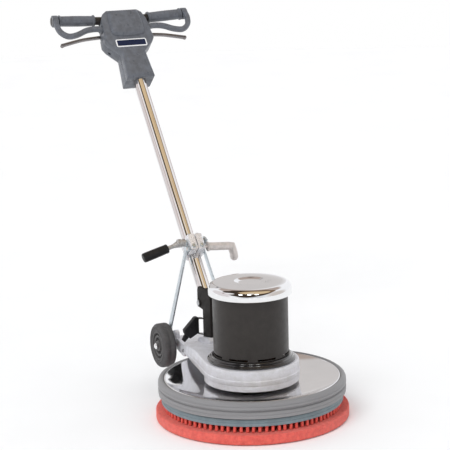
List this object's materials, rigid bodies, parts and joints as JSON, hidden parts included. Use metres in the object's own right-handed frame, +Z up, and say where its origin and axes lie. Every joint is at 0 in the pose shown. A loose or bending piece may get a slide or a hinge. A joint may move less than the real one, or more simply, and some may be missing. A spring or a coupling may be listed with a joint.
{
  "type": "rotary floor machine",
  "caption": "Upright floor scrubber: a motor over a geared round pad in a rubber-edged chromed deck, steered by a leaning handle with grips, triggers and a clamp.",
  "frame": {"origin": "point where the pad's spin axis meets the floor, on the pad's lower face", "axes": "+X forward, away from the operator; +Y to the operator's left, along the wheel axle; +Z up, along the pad's and the motor's axis"},
  "size_m": [1.1666, 0.508, 1.0028],
  "materials": {
    "pad_red": "open non-woven fibre web",
    "bristle_red": "short moulded tufts",
    "driver_blue": "moulded disc",
    "zinc": "zinc plated steel",
    "steel": "machined steel",
    "chrome": "bright chrome plate",
    "cast": "as-cast, lightly blasted",
    "black_metal": "satin black paint",
    "motor_core": "varnished windings on steel laminations",
    "black_plastic": "moulded black plastic",
    "grey_plastic": "textured blue-grey plastic",
    "bumper_rubber": "smooth warm grey rubber",
    "tyre_rubber": "dark non-marking rubber",
    "hub_plastic": "moulded hub",
    "hook_metal": "dull plated steel",
    "plate_blue": "blank plate",
    "button_red": "moulded button"
  },
  "bodies": {
    "chassis": {"motor_base": "cast", "motor_flange": "black_metal", "motor_can": "black_metal", "stator": "motor_core", "lower_bearing": "steel", "upper_bearing": "steel", "upper_end_bell": "cast", "start_capacitor": "black_plastic", "motor_cap": "chrome", "gear_case": "black_metal", "ring_gear": "steel", "output_bearing": "steel", "deck_plate": "chrome", "bumper": "bumper_rubber", "handle_yoke": "black_metal", "yoke_pin": "steel", "motor_connector": "black_plastic", "connector_bracket": "black_metal", "axle": "steel", "axle_cap_left": "chrome", "axle_cap_right": "chrome"},
    "pad_drive": {"floor_pad": "pad_red", "grip_bristles": "bristle_red", "pad_driver_block": "driver_blue", "clutch_plate": "zinc", "drive_carrier": "steel"},
    "planet_1": {"planet_gear_1": "steel"},
    "planet_2": {"planet_gear_2": "steel"},
    "planet_3": {"planet_gear_3": "steel"},
    "rotor_group": {"rotor": "motor_core", "motor_shaft": "steel", "sun_gear": "steel", "cooling_fan": "black_plastic"},
    "wheel_left": {"wheel_tyre_left": "tyre_rubber", "wheel_hub_left": "hub_plastic"},
    "wheel_right": {"wheel_tyre_right": "tyre_rubber", "wheel_hub_right": "hub_plastic"},
    "handle": {"handle_tube": "chrome", "head_front_cover": "grey_plastic", "head_rear_cover": "grey_plastic", "name_plate": "plate_blue", "handlebar": "black_metal", "grip_left": "grey_plastic", "grip_right": "grey_plastic", "guard_left": "grey_plastic", "guard_right": "grey_plastic", "switch_block": "black_plastic", "cord_gland": "black_plastic"},
    "collar": {"collar_left": "zinc", "collar_right": "zinc", "clamp_bolt": "zinc", "hook_nut": "zinc", "cord_hook": "hook_metal"},
    "stays": {"stay_bar_left": "zinc", "stay_bar_right": "zinc"},
    "clamp_lever": {"clamp_lever": "zinc", "lever_grip": "black_plastic"},
    "trigger_left": {"trigger_left": "steel"},
    "trigger_right": {"trigger_right": "steel"},
    "lock_button": {"lock_button": "button_red"}
  },
  "joints": [
    {"name": "pad_spin", "type": "hinge", "parent": "chassis", "child": "pad_drive", "pos_m": [0, 0, 0], "axis": [0, 0, 1], "continuous": true},
    {"name": "rotor_spin", "type": "hinge", "parent": "chassis", "child": "rotor_group", "pos_m": [0, 0, 0.23], "axis": [0, 0, 1], "continuous": true},
    {"name": "planet_spin_1", "type": "hinge", "parent": "pad_drive", "child": "planet_1", "pos_m": [0.03375, 0, 0.09], "axis": [0, 0, 1], "continuous": true},
    {"name": "planet_spin_2", "type": "hinge", "parent": "pad_drive", "child": "planet_2", "pos_m": [-0.01688, 0.02923, 0.09], "axis": [0, 0, 1], "continuous": true},
    {"name": "planet_spin_3", "type": "hinge", "parent": "pad_drive", "child": "planet_3", "pos_m": [-0.01688, -0.02923, 0.09], "axis": [0, 0, 1], "continuous": true},
    {"name": "wheel_spin_left", "type": "hinge", "parent": "chassis", "child": "wheel_left", "pos_m": [-0.352, 0.1085, 0.115], "axis": [0, 1, 0], "continuous": true},
    {"name": "wheel_spin_right", "type": "hinge", "parent": "chassis", "child": "wheel_right", "pos_m": [-0.352, -0.1085, 0.115], "axis": [0, 1, 0], "continuous": true},
    {"name": "handle_tilt", "type": "hinge", "parent": "chassis", "child": "handle", "pos_m": [-0.2795, 0, 0.2422], "axis": [0, -1, 0], "range_deg": [-38, 12]},
    {"name": "collar_slide", "type": "slide", "parent": "handle", "child": "collar", "axis": [-0.6401, 0, 0.7683], "range_m": [-0.052, 0.02]},
    {"name": "stay_swing", "type": "hinge", "parent": "collar", "child": "stays", "pos_m": [-0.3658, 0, 0.3942], "axis": [0, -1, 0], "range_deg": [-5, 11]},
    {"name": "clamp_lever_turn", "type": "hinge", "parent": "collar", "child": "clamp_lever", "pos_m": [-0.3658, 0, 0.3942], "axis": [0, 1, 0], "range_deg": [0, 120]},
    {"name": "trigger_squeeze_left", "type": "hinge", "parent": "handle", "child": "trigger_left", "pos_m": [-0.8749, 0.058, 0.9241], "axis": [0.7683, 0, 0.6401], "range_deg": [0, 12], "stiffness_Nm_per_rad": 1, "springref_deg": -14.32},
    {"name": "trigger_squeeze_right", "type": "hinge", "parent": "handle", "child": "trigger_right", "pos_m": [-0.8749, -0.058, 0.9241], "axis": [-0.7683, 0, -0.6401], "range_deg": [0, 12], "stiffness_Nm_per_rad": 1, "springref_deg": -14.32},
    {"name": "lock_button_press", "type": "slide", "parent": "handle", "child": "lock_button", "axis": [0.7683, 0, 0.6401], "range_m": [0, 0.004], "stiffness_N_per_m": 300, "springref_m": -0.004}
  ],
  "couplings": [
    {"joint": "rotor_spin", "follows": "pad_spin", "ratio": 10},
    {"joint": "planet_spin_1", "follows": "pad_spin", "ratio": -2.25},
    {"joint": "planet_spin_2", "follows": "pad_spin", "ratio": -2.25},
    {"joint": "planet_spin_3", "follows": "pad_spin", "ratio": -2.25},
    {"joint": "collar_slide", "follows": "handle_tilt", "m_per_rad": 0.0731},
    {"joint": "stay_swing", "follows": "handle_tilt", "ratio": -0.263}
  ]
}
